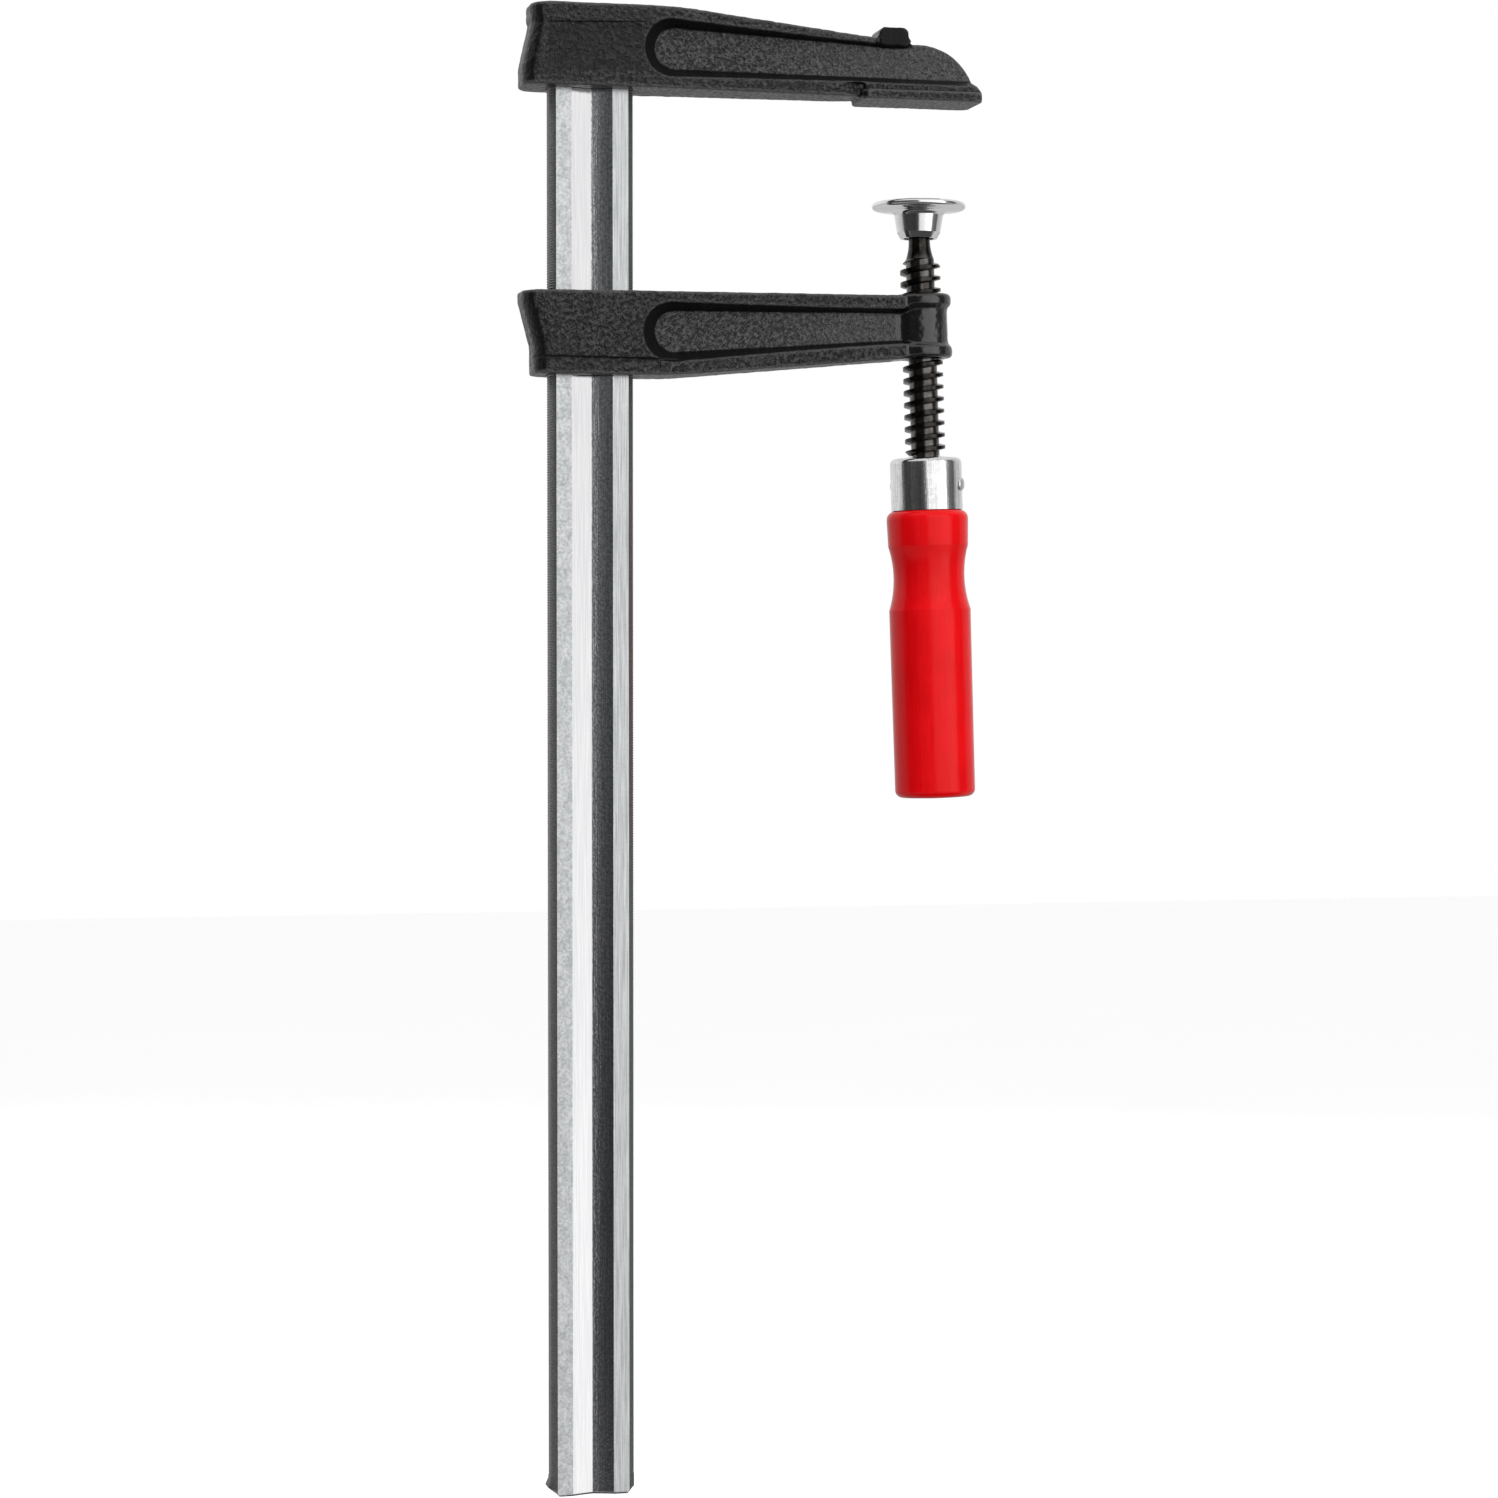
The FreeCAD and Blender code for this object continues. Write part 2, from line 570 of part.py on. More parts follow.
def make_pressure_plate():
    """The swivel pad: a disc with a coved cup, hollowed for the spindle's ball and hanging level on it."""
    rim_low = PAD_FACE - PAD_RIM
    cove_x, cove_z = CUP_TOP_RADIUS + 2.6, rim_low - 0.5
    cup_start = rim_low - 2.4
    inner_start = BALL_Z - math.sqrt((CUP_BORE - 0.4) ** 2 - (BALL_RADIUS + BALL_GAP) ** 2)
    socket = BALL_RADIUS + BALL_GAP
    roof = BALL_Z + math.sqrt(socket**2 - BALL_FLAT**2)
    outline = [
        line(Vector(0, 0, PAD_FACE), Vector(PAD_RADIUS - PAD_EDGE, 0, PAD_FACE)),
        arc(Vector(PAD_RADIUS - PAD_EDGE, 0, PAD_FACE), Vector(PAD_RADIUS, 0, PAD_FACE - PAD_RIM / 2),
            Vector(PAD_RADIUS - PAD_EDGE, 0, rim_low)),
        line(Vector(PAD_RADIUS - PAD_EDGE, 0, rim_low), Vector(cove_x, 0, cove_z)),
        arc(Vector(cove_x, 0, cove_z), Vector(CUP_TOP_RADIUS + 0.7, 0, cove_z - 0.8),
            Vector(CUP_TOP_RADIUS, 0, cup_start)),
        line(Vector(CUP_TOP_RADIUS, 0, cup_start), Vector(CUP_LOW_RADIUS, 0, CUP_BOTTOM + 2.4)),
        line(Vector(CUP_LOW_RADIUS, 0, CUP_BOTTOM + 2.4), Vector(CUP_MOUTH_RADIUS, 0, CUP_BOTTOM)),
        line(Vector(CUP_MOUTH_RADIUS, 0, CUP_BOTTOM), Vector(MOUTH_BORE, 0, CUP_BOTTOM)),
        line(Vector(MOUTH_BORE, 0, CUP_BOTTOM), Vector(MOUTH_BORE, 0, CUP_BOTTOM + CUP_LIP)),
        line(Vector(MOUTH_BORE, 0, CUP_BOTTOM + CUP_LIP), Vector(CUP_BORE, 0, CUP_BOTTOM + CUP_LIP)),
        line(Vector(CUP_BORE, 0, CUP_BOTTOM + CUP_LIP), Vector(CUP_BORE, 0, inner_start - 1.0)),
        line(Vector(CUP_BORE, 0, inner_start - 1.0), Vector(socket, 0, BALL_Z)),
        arc(Vector(socket, 0, BALL_Z), Vector(socket * math.sqrt(0.5), 0, BALL_Z + socket * math.sqrt(0.5)),
            Vector(BALL_FLAT, 0, roof)),
        line(Vector(BALL_FLAT, 0, roof), Vector(0, 0, roof)),
        line(Vector(0, 0, roof), Vector(0, 0, PAD_FACE)),
    ]
    plate = turned_edges(outline)
    plate.translate(ball_centre() - Vector(0, 0, BALL_Z))
    return plate


def make_retaining_ring():
    """The split wire ring that keeps the ball in the pad's cup."""
    wire = Part.Wire(Part.makeCircle(RING_WIRE, Vector(RING_RADIUS, 0, RING_Z), ACROSS))
    ring = Part.Face(wire).revolve(Vector(0, 0, 0), UP, 360 - RING_GAP_DEG)
    return leaned(ring)


def make_ferrule():
    """The drawn steel cap between spindle and handle, with a rounded top edge."""
    r, c, w = FERRULE_RADIUS, FERRULE_CORNER, FERRULE_WALL
    k = 1 - math.sqrt(0.5)
    inner_c = c - w
    eye = SHANK_RADIUS + 0.4
    top, low = FERRULE_TOP, FERRULE_BOTTOM
    shell = turned_edges([
        line(Vector(eye, 0, top), Vector(r - c, 0, top)),
        arc(Vector(r - c, 0, top), Vector(r - c * k, 0, top - c * k), Vector(r, 0, top - c)),
        line(Vector(r, 0, top - c), Vector(r, 0, low)),
        line(Vector(r, 0, low), Vector(r - w, 0, low)),
        line(Vector(r - w, 0, low), Vector(r - w, 0, top - c)),
        arc(Vector(r - w, 0, top - c), Vector(r - w - inner_c * k, 0, top - w - inner_c * k),
            Vector(r - c, 0, top - w)),
        line(Vector(r - c, 0, top - w), Vector(eye, 0, top - w)),
        line(Vector(eye, 0, top - w), Vector(eye, 0, top)),
    ])
    return leaned(shell.cut(pin_bar(PIN_RADIUS, 4 * r)))


def make_handle():
    """The turned wooden grip: a spigot inside the ferrule, a drawn-in waist, a ridge and a rounded end."""
    spigot = FERRULE_RADIUS - FERRULE_WALL
    spigot_top = FERRULE_TOP - FERRULE_WALL
    relief = FERRULE_CORNER
    top, r, e = FERRULE_BOTTOM, HANDLE_RADIUS, HANDLE_END_ROUND
    k = 1 - math.sqrt(0.5)
    shoulder = top - HANDLE_SHOULDER_Z
    grip = turned_edges([
        line(Vector(0, 0, HANDLE_BOTTOM), Vector(0, 0, spigot_top)),
        line(Vector(0, 0, spigot_top), Vector(spigot - relief, 0, spigot_top)),
        line(Vector(spigot - relief, 0, spigot_top), Vector(spigot, 0, spigot_top - relief)),
        line(Vector(spigot, 0, spigot_top - relief), Vector(spigot, 0, top)),
        line(Vector(spigot, 0, top), Vector(r - shoulder, 0, top)),
        arc(Vector(r - shoulder, 0, top), Vector(r - shoulder * k, 0, top - shoulder * k),
            Vector(r, 0, HANDLE_SHOULDER_Z)),
        line(Vector(r, 0, HANDLE_SHOULDER_Z), Vector(r - 0.35, 0, HANDLE_EASE_Z)),
        arc(Vector(r - 0.35, 0, HANDLE_EASE_Z), Vector(WAIST_RADIUS, 0, WAIST_Z), Vector(r, 0, RIDGE_Z)),
        line(Vector(r, 0, RIDGE_Z), Vector(r - 0.3, 0, HANDLE_BOTTOM + e)),
        arc(Vector(r - 0.3, 0, HANDLE_BOTTOM + e), Vector(r - 0.3 - e * k, 0, HANDLE_BOTTOM + e * k + 0.3),
            Vector(r - 0.3 - e, 0, HANDLE_BOTTOM + 0.5)),
        line(Vector(r - 0.3 - e, 0, HANDLE_BOTTOM + 0.5), Vector(5.0, 0, HANDLE_BOTTOM)),
        line(Vector(5.0, 0, HANDLE_BOTTOM), Vector(0, 0, HANDLE_BOTTOM)),
    ])
    socket = turned([(0, SHANK_END - 2.0), (SHANK_RADIUS, SHANK_END - 2.0),
                     (SHANK_RADIUS, spigot_top + 1), (0, spigot_top + 1)])
    return leaned(grip.cut(socket).cut(pin_bar(PIN_RADIUS, 4 * r)))


MAKERS = {
    "rail": make_rail,
    "fixed_arm": make_fixed_arm,
    "sliding_arm": make_sliding_arm,
    "spindle": make_spindle,
    "pressure_plate": make_pressure_plate,
    "retaining_ring": make_retaining_ring,
    "ferrule": make_ferrule,
    "cross_pin": make_cross_pin,
    "handle": make_handle,
}


def main():
    os.makedirs("parts", exist_ok=True)
    for name, make in MAKERS.items():
        shape = make()
        solids = shape.Solids
        piece = solids[0] if len(solids) == 1 else Part.makeCompound(solids)
        print(name, "solids", len(solids), "valid", shape.isValid(), "volume", round(shape.Volume, 1))
        piece.exportStep(f"parts/{name}.step")


main()
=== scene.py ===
"""Looks for the F clamp: rail with its toothed edges, rough black castings, blackened screw, zinc fittings
and red lacquered grip, in a pale studio with one tall softbox. Metres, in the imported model's frame."""

import math

import bpy
import numpy as np
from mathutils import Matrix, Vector


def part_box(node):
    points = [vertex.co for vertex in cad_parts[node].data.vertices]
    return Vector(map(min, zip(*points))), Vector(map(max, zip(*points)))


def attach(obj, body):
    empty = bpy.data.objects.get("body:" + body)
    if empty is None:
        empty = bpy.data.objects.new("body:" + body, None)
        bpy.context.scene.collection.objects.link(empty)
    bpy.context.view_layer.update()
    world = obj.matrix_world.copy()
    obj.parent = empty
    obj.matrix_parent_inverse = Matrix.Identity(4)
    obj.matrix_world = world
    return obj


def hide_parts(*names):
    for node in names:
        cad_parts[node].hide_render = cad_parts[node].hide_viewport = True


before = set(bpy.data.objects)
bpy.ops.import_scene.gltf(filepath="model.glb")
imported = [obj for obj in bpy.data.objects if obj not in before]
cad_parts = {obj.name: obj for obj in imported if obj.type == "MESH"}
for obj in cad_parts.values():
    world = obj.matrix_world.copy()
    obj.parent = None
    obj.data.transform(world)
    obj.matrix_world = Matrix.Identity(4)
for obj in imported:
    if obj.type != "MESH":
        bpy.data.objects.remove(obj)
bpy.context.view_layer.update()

MM = 0.001

# Rail: its section, the teeth on its narrow edges, and the lug and the cut corners at its foot
RAIL_LOW, RAIL_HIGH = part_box("rail")
RAIL_FRONT_X = -120.0 * MM
RAIL_WIDTH = 34.6 * MM
RAIL_MID_X = RAIL_FRONT_X - RAIL_WIDTH / 2
RAIL_HALF_Y = 5.5 * MM
BEVEL_X, BEVEL_Y = 2.4 * MM, 2.2 * MM
GROOVE_HALF, GROOVE_DEPTH = 8.45 * MM, 2.6 * MM
GROOVE_BULGE = 0.22                        # how much the groove's slopes are hollowed, where 0 is straight
GROOVE_EDGE = (8.3 * MM, 8.7 * MM)         # where the groove's look gives way to the land's
CORNER, GROOVE_CORNER = 0.25 * MM, 0.55 * MM
CORNER_GUARD = 0.10 * MM
TOOTH_PITCH, TOOTH_DEPTH = 1.06 * MM, 0.28 * MM
FIRST_TOOTH = 1.2 * MM                     # above the lug
LAST_TOOTH = 0.3 * MM                      # at least this far below the rail's top
LUG_HEIGHT, LUG_PEAK, LUG_PROUD, LUG_STEP = 6.5 * MM, 3.8 * MM, 1.2 * MM, 0.7 * MM
END_CUT_X, END_CUT_Z = 3.2 * MM, 3.4 * MM
EDGE_BAND = 0.8 * BEVEL_X                  # the part of the bevel that the teeth cut into
LUG_SHARE = 0.97                           # the lug lifts only what lies this far out in that band

# Screw
TILT = math.radians(1.8)                   # its lean away from the rail
SCREW_AXIS = np.array([-math.sin(TILT), 0.0, math.cos(TILT)])
# The root's brighter base is partly rubbed metal and partly a painted highlight for the glints there.
THREAD_ROOT = (7.0 * MM, 6.2 * MM)         # distances from the axis over which the rubbed root sets in
THREAD_START = (-62.0 * MM, -66.0 * MM)

# Castings
POCKET_FLOOR_Y, FLOOR_BLUR = 6.0 * MM, 0.4 * MM
PANEL_BACK_X, PANEL_RISE = -158.6 * MM, 0.034
PANEL_LOW_Z, PANEL_HIGH_Z = 6.4 * MM, 26.1 * MM
PANEL_BACK_EDGE, PANEL_FRONT_EDGE = (-156.5 * MM, -155.0 * MM), (-113.0 * MM, -120.0 * MM)
CREASE_BACK_X, CREASE_Z, CREASE_FALL = -155.0 * MM, -108.1 * MM, 0.01
CREASE_FRONT_EDGE, CREASE_EDGE = (-98.0 * MM, -112.0 * MM), (0.7 * MM, 0.1 * MM)
NUB_X, NUB_HALF_X, NUB_FOOT_Z = -10.9 * MM, 8.4 * MM, 22.2 * MM
NUB_MIDDLE = 0.001 * MM                    # faces centred nearer to the mirror plane than this keep the skin
COLLAR_RADIUS, BORE_RADIUS = 13.2 * MM, 9.6 * MM
FIXED_SLOT_GROW, SLIDING_SLOT_GROW = 0.4 * MM, 0.9 * MM
VOXEL = 0.55 * MM
SEED = 11
SAND = ((1.4 * MM, 0.09 * MM), (3.1 * MM, 0.05 * MM), (14 * MM, 0.05 * MM))    # feature size, height
RELAX_FREE, RELAX_FITTED, RELAX_ROUNDS = 0.5, 0.15, 6
SHARP_RIDGE = 0.16 * MM                    # how far a fully sharp edge stands out from its neighbours

# Studio and camera
FLOOR_DROP, FLOOR_REACH = 0.195, 6.0       # the handle clears the floor when the arm is right down
LIT_POINT, LAMP_DISTANCE = Vector((-0.06, 0.0, -0.25)), 2.2
SENSOR_MM, FOCAL_WIDTHS = 36.0, 3600.0 / 1498.0    # the focal length is given in picture widths
CAMERA_TURN, CAMERA_PITCH, CAMERA_DISTANCE = math.radians(13.0), math.radians(1.5), 1.4853
CAMERA_AIM = Vector((-0.07083, 0.0, -0.2672))

# The noise values at which a look reaches its two ends, from soft contrast to crisp
SOFT, MEDIUM, CRISP = (0.30, 0.70), (0.35, 0.65), (0.38, 0.62)


# ---------------------------------------------------------------- helpers

class Graph:
    """A small wrapper that adds and links nodes in one node tree."""

    def __init__(self, tree):
        self.tree = tree
        self.tree.nodes.clear()

    def add(self, kind, **values):
        node = self.tree.nodes.new(kind)
        for name, value in values.items():
            setattr(node, name, value)
        return node

    def set(self, socket, value):
        if isinstance(value, bpy.types.NodeSocket):
            self.tree.links.new(value, socket)
        else:
            socket.default_value = value

    def math(self, operation, a, b=0.0):
        node = self.add("ShaderNodeMath", operation=operation)
        self.set(node.inputs[0], a)
        self.set(node.inputs[1], b)
        return node.outputs[0]

    def product(self, first, *others):
        for other in others:
            first = self.math("MULTIPLY", first, other)
        return first

    def total(self, *terms):
        """The sum of (value, weight) terms."""
        parts = [value if weight == 1 else self.product(value, weight) for value, weight in terms]
        made = parts[0]
        for part in parts[1:]:
            made = self.math("ADD", made, part)
        return made

    def toward(self, value, goal, share):
        """value where share is 0, goal where it is 1."""
        kept = self.product(value, self.math("SUBTRACT", 1.0, share))
        return self.math("ADD", kept, self.product(share, goal))

    def between(self, value, low, high, to_low=0.0, to_high=1.0, smooth=True):
        """value mapped from low..high to to_low..to_high, held at both ends."""
        node = self.add("ShaderNodeMapRange", interpolation_type="SMOOTHSTEP" if smooth else "LINEAR")
        for name, number in (("Value", value), ("From Min", low), ("From Max", high),
                             ("To Min", to_low), ("To Max", to_high)):
            self.set(node.inputs[name], number)
        return node.outputs[0]

    def mix(self, factor, a, b, blend_type="MIX"):
        node = self.add("ShaderNodeMix", data_type="RGBA", blend_type=blend_type)
        self.set(node.inputs["Factor"], factor)
        self.set(node.inputs[6], a)
        self.set(node.inputs[7], b)
        return node.outputs[2]

    def noise(self, vector, per_mm, detail=2.0, roughness=0.5, distortion=0.0):
        """Noise of about per_mm features a millimetre, from 0 to 1."""
        node = self.add("ShaderNodeTexNoise")
        self.set(node.inputs["Vector"], vector)
        node.inputs["Scale"].default_value = per_mm / MM
        node.inputs["Detail"].default_value = detail
        node.inputs["Roughness"].default_value = roughness
        node.inputs["Distortion"].default_value = distortion
        return node.outputs[0]

    def stretch(self, vector, x=1.0, y=1.0, z=1.0):
        node = self.add("ShaderNodeVectorMath", operation="MULTIPLY")
        self.set(node.inputs[0], vector)
        node.inputs[1].default_value = (x, y, z)
        return node.outputs[0]

    def split(self, vector):
        node = self.add("ShaderNodeSeparateXYZ")
        self.set(node.inputs[0], vector)
        return node.outputs

    def bump(self, height, strength, distance_mm):
        node = self.add("ShaderNodeBump")
        self.set(node.inputs["Height"], height)
        node.inputs["Strength"].default_value = strength
        node.inputs["Distance"].default_value = distance_mm * MM
        return node.outputs[0]


def material(name, fixed, build):
    """A Principled material: fixed holds its constant sockets, build(graph) returns its driven ones."""
    made = bpy.data.materials.new(name)
    made.use_nodes = True
    graph = Graph(made.node_tree)
    shader = graph.add("ShaderNodeBsdfPrincipled")
    out = graph.add("ShaderNodeOutputMaterial")
    graph.tree.links.new(shader.outputs[0], out.inputs["Surface"])
    for socket, value in fixed.items():
        shader.inputs[socket].default_value = value
    for socket, value in build(graph).items():
        graph.set(shader.inputs[socket], value)
    return made


def place(graph):
    return graph.add("ShaderNodeTexCoord").outputs["Object"]


def facing(graph):
    """The surface's own direction, as x, y, z."""
    return graph.split(graph.add("ShaderNodeNewGeometry").outputs["Normal"])


def ridge_of(graph):
    """How sharply the casting's skin stands out here, which make_casting measured."""
    return graph.add("ShaderNodeAttribute", attribute_name="ridge").outputs["Fac"]


def grey(value, warm=0.0):
    return (value * (1 + warm), value, value * (1 - warm), 1.0)


def add_object(name, data):
    """A new object that holds data, linked into the scene."""
    made = bpy.data.objects.new(name, data)
    bpy.context.scene.collection.objects.link(made)
    return made


def point_along(made, direction, axis):
    """Turns an object so that its axis points along direction."""
    made.rotation_mode = "QUATERNION"
    made.rotation_quaternion = direction.to_track_quat(axis, "Y")


def column(items, name, width, kind=float):
    """One property of a mesh's vertices, edges or faces, as an array with a row for each."""
    values = np.empty(len(items) * width, dtype=kind)
    items.foreach_get(name, values)
    return values.reshape(-1, width)


def from_screw_axis(points):
    """How far each point lies from the screw's leaning axis."""
    along = points @ SCREW_AXIS
    return np.linalg.norm(points - along[:, None] * SCREW_AXIS, axis=1)


# ---------------------------------------------------------------- materials

def rail_steel():
    """Galvanised bar: a grainy left land and a streaked right one; in the groove an even left slope and a
    speckled right one, whose bases differ as painted light and shade.
    """

    def build(g):
        at = place(g)
        from_middle = g.math("SUBTRACT", g.split(at)[0], RAIL_MID_X)
        land = g.between(g.math("ABSOLUTE", from_middle), *GROOVE_EDGE)
        right_land = g.product(g.between(from_middle, *GROOVE_EDGE), 0.8)
        left = g.between(from_middle, 0.2 * MM, -0.2 * MM)
        left_slope = g.product(left, g.math("SUBTRACT", 1.0, land))
        cloud = g.noise(g.stretch(at, z=0.6), 0.30, 4.0, 0.6)
        speck = g.noise(at, 0.85, 3.0, 0.7)
        marks = g.noise(g.stretch(at, z=0.02), 1.8, 3.0, 0.6)

        patchy = g.toward(g.total((cloud, 0.35), (speck, 0.65)), marks, right_land)
        land_colour = g.mix(g.between(patchy, *CRISP, smooth=False),
                            (0.42, 0.435, 0.445, 1), (0.66, 0.675, 0.675, 1))
        even = g.mix(g.between(marks, *MEDIUM), (0.52, 0.52, 0.53, 1), (0.58, 0.58, 0.585, 1))
        speckled = g.mix(g.between(g.total((marks, 0.3), (speck, 0.7)), *MEDIUM),
                         (0.46, 0.48, 0.51, 1), (0.94, 0.94, 0.96, 1))
        # painted light and shade: the groove's left slope gets an even base and its right slope a speckled
        # one that reaches much brighter.
        groove_colour = g.mix(left, speckled, even)
        rough = g.toward(g.between(speck, *SOFT, 0.14, 0.08), g.between(patchy, *SOFT, 0.36, 0.24), land)
        grain = g.product(g.total((speck, 1.0), (marks, 0.5)), g.between(left_slope, 0.0, 1.0, 1.0, 0.25))
        return {"Base Color": g.mix(land, groove_colour, land_colour),
                "Roughness": rough,
                "Normal": g.bump(grain, 0.8, 0.06)}

    return material("rail_zinc", {"Metallic": 1.0}, build)


def rail_teeth(name, dark, light, painted_front_light):
    """The rail's bevels or toothed edges, duller than its broad sides, with painted light and shade between
    front and back.

    Those on the rail's front are painted_front_light times as bright as those on its back, as in the photo."""

    def build(g):
        at = place(g)
        speck = g.noise(at, 1.6, 3.0, 0.6)
        front = g.between(g.math("SUBTRACT", g.split(at)[0], RAIL_MID_X), -1.0 * MM, 1.0 * MM)
        # painted light and shade: the base of the edges on the rail's front is scaled against that on its
        # back, so one side comes out lighter and the other darker.
        share = g.mix(front, grey(1.0), grey(painted_front_light))
        tone = g.mix(g.between(speck, *MEDIUM), grey(dark), grey(light))
        return {"Base Color": g.mix(1.0, tone, share, "MULTIPLY"),
                "Roughness": g.between(speck, *SOFT, 0.50, 0.36),
                "Normal": g.bump(speck, 0.5, 0.08)}

    return material(name, {"Metallic": 1.0}, build)


def casting(name, zones):
    """Black paint on a sand casting: coarse grain on the broad sides, its tone partly painted glints;
    smoother walls in painted shade; edges lightened partly by wear, partly by a painted highlight.

    zones(graph, x, y, z) returns three masks: the pocket floors, a smoother panel, and a crease that gets
    painted shade."""

    def build(g):
        at = place(g)
        x, y, z = g.split(at)
        pocket_floor, panel, crease = zones(g, x, y, z)
        broad = g.between(g.math("ABSOLUTE", facing(g)[1]), 0.80, 0.97)
        grain = g.noise(at, 0.62, 2.0, 0.55, 0.3)
        fine = g.noise(at, 1.25, 2.0, 0.5)
        cloud = g.noise(at, 0.045, 3.0, 0.5)
        edge = g.between(g.total((ridge_of(g), 1.0), (g.math("SUBTRACT", fine, 0.5), 0.4)), 0.20, 0.60)

        # The grain's tone spread, here and on the pocket floors below, is partly the paint's own mottle and
        # partly painted glints standing in for light on the sand relief.
        wear_and_glint = g.between(g.total((grain, 0.65), (fine, 0.35)), 0.42, 0.62)
        side_tone = g.mix(wear_and_glint, grey(0.012), grey(0.068))
        side_tone = g.mix(g.between(cloud, 0.35, 0.7, 0.0, 0.5), side_tone, grey(0.030))
        side_tone = g.mix(panel, side_tone, g.mix(wear_and_glint, grey(0.010), grey(0.022)))
        floor_wear_and_glint = g.between(g.total((grain, 0.4), (fine, 0.6)), 0.42, 0.60)
        floor_tone = g.mix(floor_wear_and_glint, grey(0.030), grey(0.100))
        floor_tone = g.mix(g.between(x, -75.0 * MM, -10.0 * MM, 0.0, 0.45), floor_tone, grey(0.10))
        # painted shade: faces that don't face the arm's sides, such as pocket walls, tops, undersides and
        # edges, get a near-black base.
        tone = g.mix(broad, grey(0.003), g.mix(pocket_floor, side_tone, floor_tone))
        # painted shade: the crease is darkened nearly to black, standing in for the shadow under the step
        # above the band.
        tone = g.mix(g.product(crease, 0.9), tone, grey(0.0012))
        # painted highlight: convex edges are lightened, partly for paint wear and partly standing in for
        # light catching the rims.
        tone = g.mix(g.product(edge, 0.7), tone, grey(0.095))

        height = g.product(g.total((grain, 1.0), (fine, 0.15)), g.between(broad, 0.0, 1.0, 0.15, 1.0),
                           g.between(panel, 0.0, 1.0, 1.0, 0.6))
        return {"Base Color": tone,
                "Roughness": g.total((g.between(grain, *MEDIUM, 0.44, 0.26), 1.0), (fine, 0.05)),
                "Normal": g.bump(g.total((height, 1.0), (crease, -0.45)), 1.0, 3.0)}

    return material(name, {"Specular IOR Level": 0.36}, build)


def gloss_paint(name, level, tone, rough):
    """The same black paint where it lies smooth and looks wet, on turned and rubbed parts of a casting."""

    def build(g):
        at = place(g)
        flow = g.noise(at, 0.22, 2.0, 0.5)
        pits = g.noise(at, 1.3, 2.0, 0.5)
        paint = g.mix(g.between(pits, *MEDIUM), grey(tone * 0.5), grey(tone * 1.5))
        # Convex edges are lightened: partly wear, partly a painted highlight.
        return {"Base Color": g.mix(g.between(ridge_of(g), 0.45, 1.0, 0.0, 0.35), paint, grey(0.05)),
                "Roughness": g.between(pits, *SOFT, rough * 1.25, rough),
                "Normal": g.bump(g.total((flow, 1.0), (pits, 0.2)), 0.6, 0.35)}

    return material(name, {"Specular IOR Level": level}, build)


def floor_zone(g, y):
    """1 where the arm is as thin as its pocket floors."""
    return g.between(g.math("ABSOLUTE", y), POCKET_FLOOR_Y + FLOOR_BLUR, POCKET_FLOOR_Y - FLOOR_BLUR)


def fixed_zones(g, x, y, z):
    """The fixed arm's pocket floors, and the smoother panel on its head, which rises towards the front."""
    pocket_floor = floor_zone(g, y)
    rise = g.product(g.math("SUBTRACT", x, PANEL_BACK_X), PANEL_RISE)
    height = g.math("SUBTRACT", z, rise)
    panel = g.product(g.between(x, *PANEL_FRONT_EDGE), g.math("SUBTRACT", 1.0, pocket_floor),
                      g.between(x, *PANEL_BACK_EDGE),
                      g.between(height, PANEL_LOW_Z - 0.6 * MM, PANEL_LOW_Z + 0.6 * MM),
                      g.between(height, PANEL_HIGH_Z + 0.5 * MM, PANEL_HIGH_Z - 0.5 * MM))
    return pocket_floor, panel, 0.0


def sliding_zones(g, x, y, z):
    """The sliding arm's pocket floors, and the crease above the band at the foot of its head, which gets
    painted shade.
    """
    pocket_floor = floor_zone(g, y)
    head = g.product(g.between(x, *CREASE_FRONT_EDGE), g.math("SUBTRACT", 1.0, pocket_floor))
    fall = g.product(g.math("SUBTRACT", x, CREASE_BACK_X), CREASE_FALL)
    off = g.math("ABSOLUTE", g.math("SUBTRACT", z, g.math("SUBTRACT", CREASE_Z, fall)))
    return pocket_floor, 0.0, g.product(g.between(off, *CREASE_EDGE), head)


def black_oxide():
    """Blackened steel of the screw: black on the crests and neck; the thread's root brighter, partly rubbed,
    partly a painted highlight.
    """

    def build(g):
        at = place(g)
        x, y, z = g.split(at)
        across = g.total((x, 1.0), (z, math.tan(TILT)))
        away = g.math("SQRT", g.math("ADD", g.product(across, across), g.product(y, y)))
        root = g.product(g.between(away, *THREAD_ROOT), g.between(z, *THREAD_START))
        patch = g.noise(at, 0.25, 3.0, 0.55)
        fine = g.noise(at, 1.8, 2.0, 0.5)
        black = g.mix(g.between(patch, 0.35, 0.7), grey(0.020, 0.10), grey(0.060, 0.08))
        # The root's brighter base is partly rubbed metal and partly a painted highlight for the glints there.
        rubbed = g.mix(g.between(patch, *SOFT), grey(0.055, 0.08), grey(0.15, 0.04))
        return {"Base Color": g.mix(root, black, rubbed),
                "Roughness": g.between(fine, *SOFT, 0.20, 0.11),
                "Normal": g.bump(g.total((fine, 0.5), (patch, 1.0)), 0.5, 0.12)}

    return material("black_oxide", {"Metallic": 1.0}, build)


